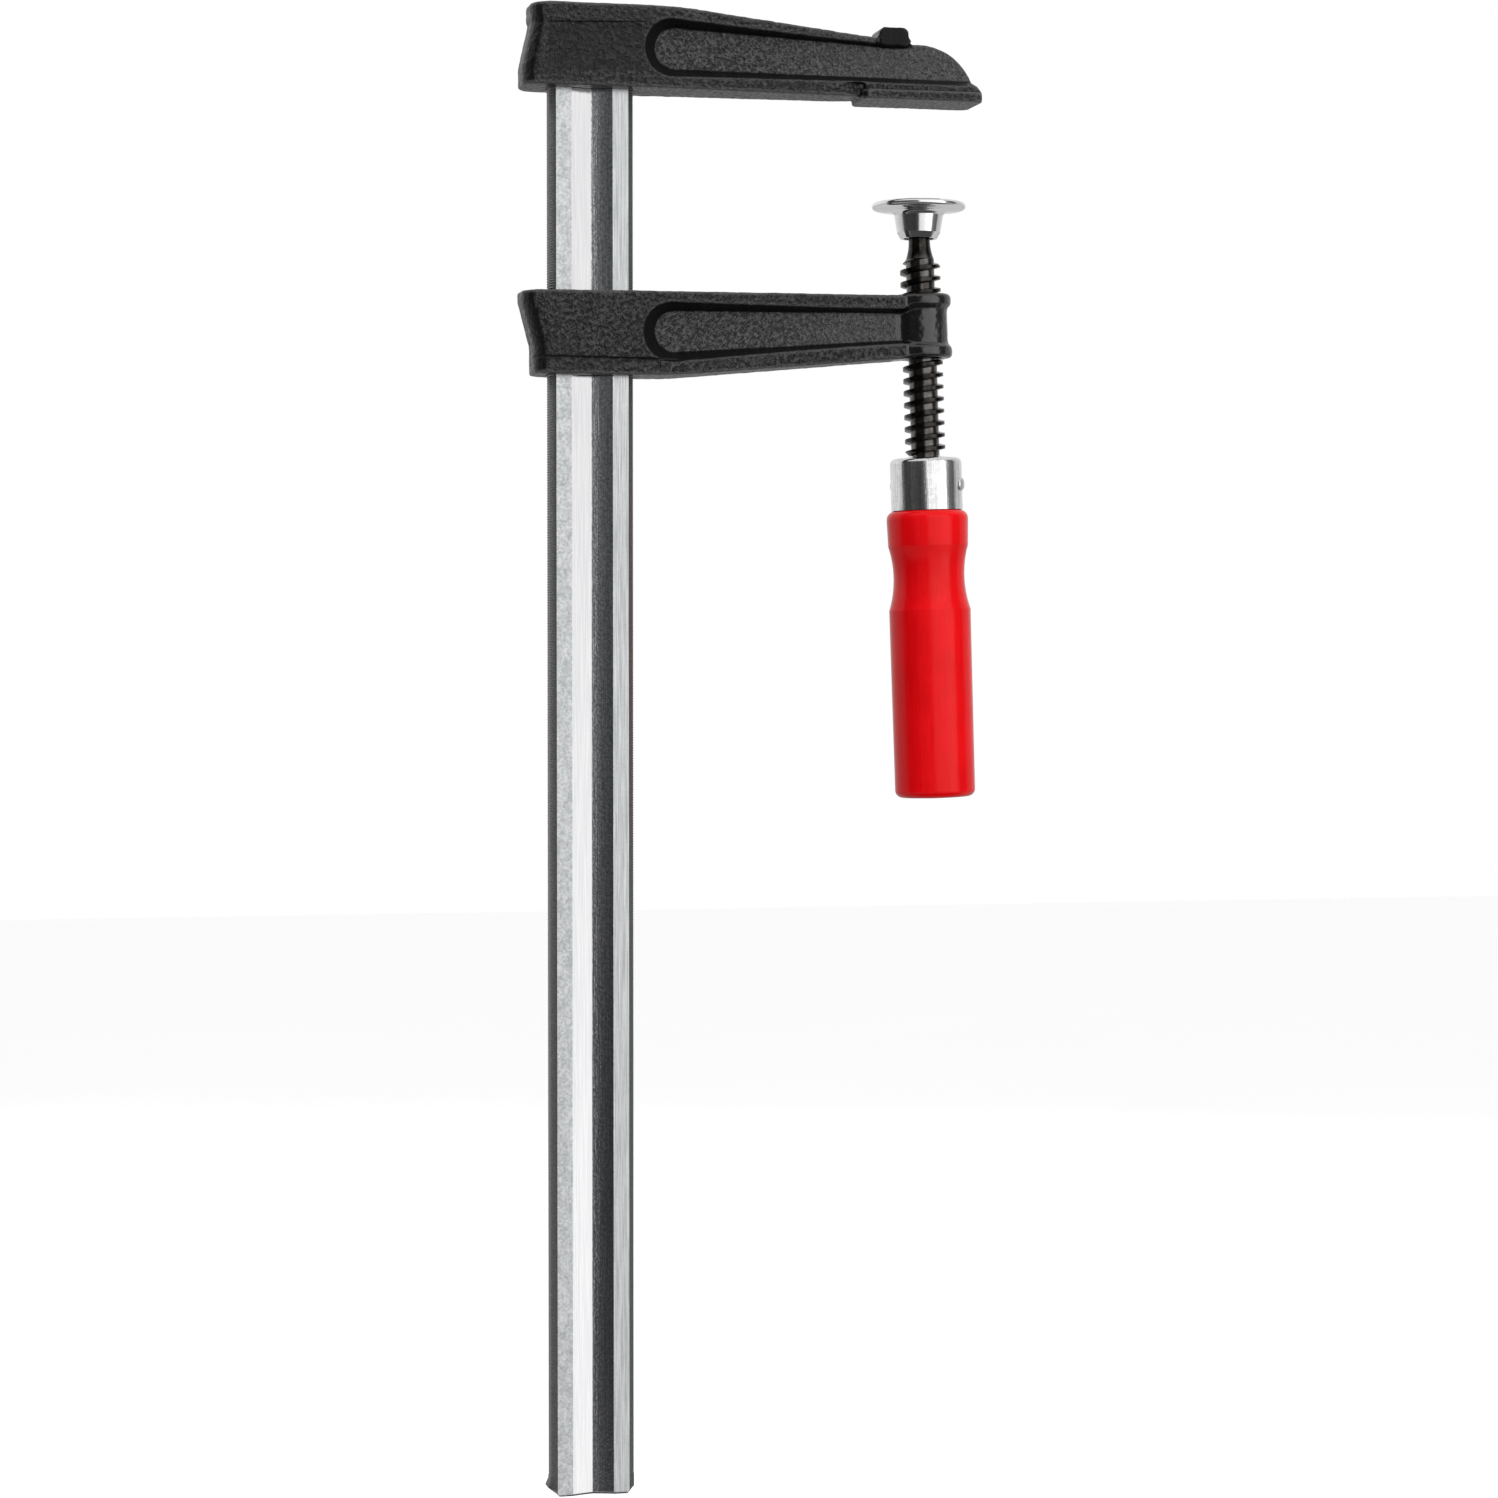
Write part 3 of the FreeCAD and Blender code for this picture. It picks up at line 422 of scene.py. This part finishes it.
def zinc(name, bright, rough, drawn=0.0):
    """Bright zinc plate with a faint haze and fine turning marks, or marks along Z as drawn nears 1."""

    def build(g):
        at = place(g)
        haze = g.noise(at, 0.35, 3.0, 0.6)
        rings = g.noise(g.stretch(at, x=0.12, y=0.12), 3.5, 3.0, 0.6)
        marks = g.noise(g.stretch(at, z=0.06), 1.1, 3.0, 0.6)
        speck = g.noise(at, 1.6, 2.0, 0.5)
        tone = g.total((g.total((haze, 0.5), (speck, 0.5)), 1 - 0.5 * drawn), (marks, 0.5 * drawn))
        spread = 0.09 + 0.22 * drawn
        low = (bright * (1 - spread), bright * (1.01 - spread), bright * (1.02 - spread), 1)
        high = (bright, bright, bright * 0.985, 1)
        base_rough = g.between(haze, *SOFT, rough * 1.35, rough)
        height = g.total((rings, 0.7 * (1 - drawn)), (marks, 1.2 * drawn), (speck, 1.0))
        return {"Base Color": g.mix(g.between(tone, *CRISP), low, high),
                "Roughness": g.total((base_rough, 1.0), (g.math("SUBTRACT", speck, 0.5), 0.16 * drawn)),
                "Normal": g.bump(height, 0.2 + 0.3 * drawn, 0.03 + 0.03 * drawn)}

    return material(name, {"Metallic": 1.0}, build)


def red_lacquer():
    """Sprayed red lacquer over turned wood: faint long grain and a soft sheen."""

    def build(g):
        at = place(g)
        grain = g.noise(g.stretch(at, z=0.05), 1.1, 4.0, 0.6, 0.2)
        cloud = g.noise(at, 0.05, 2.0, 0.5)
        peel = g.noise(at, 0.6, 2.0, 0.5)
        tone = g.between(g.total((grain, 0.5), (cloud, 0.5)), *MEDIUM)
        return {"Base Color": g.mix(tone, (0.70, 0.002, 0.004, 1), (0.82, 0.003, 0.006, 1)),
                "Roughness": g.between(peel, *SOFT, 0.22, 0.15),
                "Normal": g.bump(g.total((grain, 0.7), (peel, 1.0)), 0.25, 0.06)}

    return material("red_lacquer", {"Specular IOR Level": 0.21}, build)


# ---------------------------------------------------------------- rail

def rounded(corners, steps=3):
    """A closed outline from (x, y, radius) corners, each rounded with a few points and a guard point."""
    points = []
    count = len(corners)
    for i, (x, y, radius) in enumerate(corners):
        here = Vector((x, y))
        if radius is None:
            points.append(here)
            continue
        before = (Vector(corners[i - 1][:2]) - here).normalized()
        after = (Vector(corners[(i + 1) % count][:2]) - here).normalized()
        reach = radius / math.tan(before.angle(after) / 2)
        start, end = here + before * reach, here + after * reach
        points.append(start + before * CORNER_GUARD)
        for k in range(steps + 1):
            t = k / steps
            points.append(start * (1 - t) ** 2 + here * 2 * t * (1 - t) + end * t ** 2)
        points.append(end + after * CORNER_GUARD)
    return points


def rail_section():
    """The rail's section about its own centre, anticlockwise, from the front groove round."""
    w, h = RAIL_WIDTH / 2, RAIL_HALF_Y
    slope = [(-GROOVE_HALF, -h, CORNER)] + [
        (-GROOVE_HALF * t, GROOVE_DEPTH * (1 - t) * (1 + GROOVE_BULGE * t) - h, None)
        for t in (0.8, 0.6, 0.4, 0.22)]
    groove = slope + [(0.0, GROOVE_DEPTH - h, GROOVE_CORNER)] + [(-x, y, r) for x, y, r in reversed(slope)]
    side = [(-w, BEVEL_Y - h, CORNER), (BEVEL_X - w, -h, CORNER)] + groove + [
        (w - BEVEL_X, -h, CORNER), (w, BEVEL_Y - h, CORNER)]
    return rounded(side + [(-x, -y, r) for x, y, r in side])


def rail_heights():
    """Heights above the rail's foot: close together through the cut and the lug, then two to a tooth."""
    length = RAIL_HIGH.z - RAIL_LOW.z
    heights = [END_CUT_Z * k / 4 for k in range(5)]
    heights += [LUG_PEAK + LUG_STEP * k for k in range(4)] + [LUG_HEIGHT]
    z = LUG_HEIGHT + FIRST_TOOTH
    while z < length - LAST_TOOTH:
        heights.append(z)
        z += TOOTH_PITCH / 2
    return heights + [length]


def edge_reach(height, index):
    """How far the narrow edge stands out from its plain place at this height: the lug, then the teeth."""
    if height <= LUG_PEAK:
        return LUG_PROUD
    if height <= LUG_HEIGHT:
        return LUG_PROUD * (LUG_HEIGHT - height) / (LUG_HEIGHT - LUG_PEAK)
    return -TOOTH_DEPTH if index % 2 else 0.0


def rail_row(section, height, index):
    """The rail's section at this height, with both narrow edges toothed and the lug on the back one."""
    half = RAIL_WIDTH / 2
    reach = edge_reach(height, index)
    limit = half + LUG_PROUD
    if height < END_CUT_Z:
        limit -= (LUG_PROUD + END_CUT_X) * (END_CUT_Z - height) / END_CUT_Z
    row = []
    for point in section:
        x = abs(point.x)
        share = min(max((x - (half - EDGE_BAND)) / EDGE_BAND, 0.0), 1.0)
        if reach > 0 and share < LUG_SHARE:
            share = 0.0
        shift = reach if point.x < 0 else min(reach, 0.0)
        x = min(x + shift * share, limit)
        row.append((RAIL_MID_X + math.copysign(x, point.x), point.y, RAIL_LOW.z + height))
    return row


def make_rail(smooth_mat, bevel_mat, tooth_mat):
    """The rail with every tooth modelled: material 0 on its broad sides, 1 on the bevels, 2 on the edges."""
    section = rail_section()
    heights = rail_heights()
    count, top = len(section), len(heights) - 1
    half = RAIL_WIDTH / 2
    verts = [vert for index, height in enumerate(heights) for vert in rail_row(section, height, index)]
    faces, marks = [], []
    for i in range(top):
        for j in range(count):
            k = (j + 1) % count
            faces.append((i * count + j, i * count + k, (i + 1) * count + k, (i + 1) * count + j))
            middle = (abs(section[j].x) + abs(section[k].x)) / 2
            marks.append(2 if middle > half - 0.1 * MM else 1 if middle > half - BEVEL_X + 0.05 * MM else 0)
    faces += [tuple(reversed(range(count))), tuple(range(top * count, (top + 1) * count))]
    mesh = bpy.data.meshes.new("rail_toothed")
    mesh.from_pydata(verts, [], faces)
    for mat in (smooth_mat, bevel_mat, tooth_mat):
        mesh.materials.append(mat)
    mesh.polygons.foreach_set("material_index", marks + [0, 0])
    mesh.polygons.foreach_set("use_smooth", [mark == 0 for mark in marks] + [False, False])
    mesh.update()
    rail = add_object("rail_toothed", mesh)
    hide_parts("rail")
    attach(rail, "frame")


# ---------------------------------------------------------------- castings

def lattice_noise(points, size, seed):
    """Smooth seeded value noise from -1 to 1 at points, with features of about size."""
    table = np.random.RandomState(seed).uniform(-1, 1, 4096)
    cell = points / size
    base = np.floor(cell).astype(np.int64)
    t = cell - base
    t = t * t * (3 - 2 * t)
    total = np.zeros(len(points))
    for corner in range(8):
        step = np.array([corner & 1, corner >> 1 & 1, corner >> 2 & 1])
        index = base + step
        hashed = (index[:, 0] * 73856093 ^ index[:, 1] * 19349663 ^ index[:, 2] * 83492791) & 4095
        weight = np.prod(np.where(step, t, 1 - t), axis=1)
        total += table[hashed] * weight
    return total


def relax(points, edges, strength, rounds):
    """Evens a mesh by moving each point towards the middle of its neighbours."""
    count = np.bincount(edges.ravel(), minlength=len(points))[:, None]
    for _ in range(rounds):
        total = np.zeros_like(points)
        for axis in range(3):
            total[:, axis] = (np.bincount(edges[:, 0], points[edges[:, 1], axis], len(points))
                              + np.bincount(edges[:, 1], points[edges[:, 0], axis], len(points)))
        points = points + (total / count - points) * strength[:, None]
    return points


def ridges(points, edges, normals):
    """How sharply each point stands out from its neighbours: 0 on flats and hollows, 1 along an edge."""
    full = np.ones(len(points))
    out = ((points - relax(points, edges, full, 3)) * normals).sum(axis=1)
    for _ in range(2):
        out = relax(out[:, None].repeat(3, axis=1), edges, full, 1)[:, 0]
    return np.clip(out / SHARP_RIDGE, 0, 1)


def remeshed(piece):
    """A copy of the piece's mesh in even voxels, fine enough to carry the skin."""
    modifier = piece.modifiers.new("even", "REMESH")
    modifier.mode = "VOXEL"
    modifier.voxel_size = VOXEL
    made = bpy.data.meshes.new_from_object(piece.evaluated_get(bpy.context.evaluated_depsgraph_get()))
    piece.modifiers.clear()
    return made


def sand_skin(mesh, fitted):
    """Eases a mesh's edges, makes its skin slightly uneven, and stores the "ridge" measure for its paint."""
    points = column(mesh.vertices, "co", 3)
    edges = column(mesh.edges, "vertices", 2, np.int64)
    low, high = points.min(axis=0), points.max(axis=0)
    true = fitted(points)
    free = 1 - true
    points = relax(points, edges, RELAX_FITTED * true + RELAX_FREE * free, RELAX_ROUNDS)
    mesh.vertices.foreach_set("co", points.ravel())
    mesh.update()
    normals = column(mesh.vertices, "normal", 3)
    swell = sum(height * lattice_noise(points, size, SEED + k) for k, (size, height) in enumerate(SAND))
    # The ridge measure lets the paint lighten convex edges: partly wear, partly a painted highlight.
    wear_and_glint = ridges(points, edges, normals) * free
    mesh.attributes.new("ridge", "FLOAT", "POINT").data.foreach_set("value", wear_and_glint)
    points = np.clip(points + normals * (swell * free)[:, None], low, high)
    mesh.vertices.foreach_set("co", points.ravel())


def make_casting(node, body, skin, gloss, glossy, fitted):
    """A casting's CAD shape with its edges eased and its skin slightly uneven, as sand leaves it.

    fitted(points) is 1 where a point lies on a machined or fitting surface, which stays true;
    glossy(points) is true where the smooth paint gloss takes the place of the skin."""
    piece = add_object(node + "_cast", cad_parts[node].data.copy())
    mesh = remeshed(piece)
    piece.data = mesh
    mesh.name = node + "_cast"
    sand_skin(mesh, fitted)
    mesh.polygons.foreach_set("use_smooth", [True] * len(mesh.polygons))
    mesh.materials.clear()
    mesh.materials.append(skin)
    mesh.materials.append(gloss)
    centres = column(mesh.polygons, "center", 3)
    mesh.polygons.foreach_set("material_index", glossy(centres).astype(np.int32))
    mesh.update()
    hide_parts(node)
    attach(piece, body)


def nub_part(points):
    """True on the small nub that stands on the fixed arm's slope, apart from its middle line."""
    beside = np.abs(points[:, 1]) > NUB_MIDDLE
    return (np.abs(points[:, 0] - NUB_X) < NUB_HALF_X) & (points[:, 2] > NUB_FOOT_Z) & beside


def boss_part(points):
    """True on the screw boss, within its collars' radius of the leaning axis."""
    return from_screw_axis(points) < COLLAR_RADIUS


def in_slot(points, grow):
    """1 on the surfaces of the slot round the rail."""
    half_x, half_y = RAIL_WIDTH / 2 + grow, RAIL_HALF_Y + grow
    inside = (np.abs(points[:, 0] - RAIL_MID_X) < half_x) & (np.abs(points[:, 1]) < half_y)
    return inside.astype(float)


def fixed_fit(points):
    """1 on the fixed arm's surfaces that fit another piece."""
    return in_slot(points, FIXED_SLOT_GROW)


def sliding_fit(points):
    """1 on the sliding arm's surfaces that fit another piece: round the rail, and in the tapped hole."""
    return np.maximum(in_slot(points, SLIDING_SLOT_GROW), from_screw_axis(points) < BORE_RADIUS)


# ---------------------------------------------------------------- studio

def level_rings():
    """The studio's brightness by azimuth in degrees, 0 in front and growing to the right: low down, high up.

    A tall softbox stands from -12 to 52, with a dark gap on either side of it and pale walls behind."""
    low = [(-180, 0.55), (-130, 0.55), (-103, 0.45), (-97, 0.05), (-74, 0.04), (-60, 0.04), (-34, 0.022),
           (-17, 0.06), (-10, 0.80), (20, 1.10), (34, 1.65), (52, 1.65), (57, 0.20), (84, 0.10), (92, 0.50),
           (150, 0.55), (180, 0.55)]
    high = [(-180, 0.85), (-130, 0.85), (-103, 0.75), (-97, 0.06), (-74, 0.05), (-60, 0.10), (-34, 0.05),
            (-17, 0.16), (-12, 1.20), (20, 1.20), (34, 1.45), (52, 1.45), (57, 0.20), (84, 0.10), (92, 0.55),
            (150, 0.85), (180, 0.85)]
    return low, high


def studio_light():
    """The pale studio seen in reflections and lighting the clamp; the camera itself sees plain white."""
    world = bpy.data.worlds.new("studio")
    bpy.context.scene.world = world
    world.use_nodes = True
    g = Graph(world.node_tree)
    x, y, z = g.split(g.add("ShaderNodeTexCoord").outputs["Generated"])
    turn = g.math("ARCTAN2", x, g.product(y, -1.0))
    share = g.math("ADD", g.math("DIVIDE", turn, 2 * math.pi), 0.5)
    rings = []
    for stops in level_rings():
        ramp = g.add("ShaderNodeValToRGB")
        g.set(ramp.inputs[0], share)
        elements = ramp.color_ramp.elements
        while len(elements) < len(stops):
            elements.new(0.5)
        for element, (azimuth, level) in zip(elements, stops):
            element.position = (azimuth + 180) / 360
            element.color = (level, level, level, 1)
        rings.append(ramp.outputs[0])
    around = g.mix(g.between(z, -0.16, 0.10), *rings)
    bounce = g.between(z, -0.26, -0.35, 0.0, 0.75)
    ceiling = g.between(z, 0.50, 0.70)
    dark_foot = g.product(g.between(y, 0.25, -0.25), g.between(z, -0.50, -0.62))
    camera_ray = g.add("ShaderNodeLightPath").outputs["Is Camera Ray"]
    level = around
    for goal, where in ((0.62, bounce), (0.8, ceiling), (0.06, dark_foot), (1.0, camera_ray)):
        level = g.toward(level, goal, where)
    back = g.add("ShaderNodeBackground")
    g.set(back.inputs["Color"], level)
    out = g.add("ShaderNodeOutputWorld")
    g.tree.links.new(back.outputs[0], out.inputs["Surface"])


def soft_light(name, azimuth, elevation, size, watts):
    """A large soft lamp aimed at the clamp; it shapes the paint and lacquer but isn't mirrored in metal."""
    data = bpy.data.lights.new(name, "AREA")
    data.shape = "RECTANGLE"
    data.size, data.size_y = size, size * 1.3
    data.energy = watts
    made = add_object(name, data)
    a, e = math.radians(azimuth), math.radians(elevation)
    away = Vector((math.sin(a) * math.cos(e), -math.cos(a) * math.cos(e), math.sin(e)))
    made.location = LIT_POINT + away * LAMP_DISTANCE
    point_along(made, away, "Z")
    made.visible_camera = False
    made.visible_glossy = False


def floor():
    """A pale floor, low enough for the handle to clear it when the arm is right down."""
    reach, z = FLOOR_REACH, RAIL_LOW.z - FLOOR_DROP
    mesh = bpy.data.meshes.new("floor")
    mesh.from_pydata([(-reach, -reach, z), (reach, -reach, z), (reach, reach, z), (-reach, reach, z)], [],
                     [(0, 1, 2, 3)])
    made = add_object("floor", mesh)

    def build(g):
        cloud = g.noise(place(g), 0.004, 2.0)
        return {"Base Color": g.mix(cloud, grey(0.93), grey(0.95))}

    fixed = {"Roughness": 0.8, "Specular IOR Level": 0.1, "Emission Color": grey(1.0),
             "Emission Strength": 0.25}
    mesh.materials.append(material("pale_floor", fixed, build))
    made.visible_glossy = False
    made.visible_diffuse = False


def camera():
    """The photo's camera: nearly level, and a little to the right of the front."""
    data = bpy.data.cameras.new("camera")
    data.sensor_width = SENSOR_MM
    data.lens = FOCAL_WIDTHS * SENSOR_MM
    made = add_object("camera", data)
    turn, pitch = CAMERA_TURN, CAMERA_PITCH
    look = Vector((math.sin(turn) * math.cos(pitch), math.cos(turn) * math.cos(pitch), -math.sin(pitch)))
    made.location = CAMERA_AIM - look * CAMERA_DISTANCE
    point_along(made, look, "-Z")
    bpy.context.scene.camera = made


# ---------------------------------------------------------------- assembly

def dress(node, mat):
    """Gives a CAD node its material."""
    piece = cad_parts[node]
    if not piece.material_slots:
        piece.data.materials.append(None)
    for slot in piece.material_slots:
        slot.link = "OBJECT"
        slot.material = mat


make_rail(rail_steel(),
          rail_teeth("rail_bevel", 0.27, 0.42, 0.56),
          rail_teeth("rail_toothed_edge", 0.08, 0.15, 3.0))
make_casting("fixed_arm", "frame",
             casting("black_paint_fixed", fixed_zones),
             gloss_paint("black_gloss_nub", 0.16, 0.003, 0.20), nub_part, fixed_fit)
make_casting("sliding_arm", "sliding_arm",
             casting("black_paint_sliding", sliding_zones),
             gloss_paint("black_gloss_boss", 0.92, 0.006, 0.17), boss_part, sliding_fit)
dress("spindle", black_oxide())
dress("pressure_plate", zinc("zinc_bright", 0.90, 0.11))
dress("ferrule", zinc("zinc_drawn", 0.92, 0.12, drawn=1.0))
dress("cross_pin", zinc("zinc_pin", 0.78, 0.34))
dress("retaining_ring", zinc("zinc_wire", 0.70, 0.24))
dress("handle", red_lacquer())

studio_light()
soft_light("key", 18, 22, 1.2, 20)
soft_light("fill", -35, 10, 1.4, 9)
soft_light("back", 160, 30, 1.2, 12)
floor()
camera()
view = bpy.context.scene.view_settings
view.view_transform = "Standard"
view.look = "None"
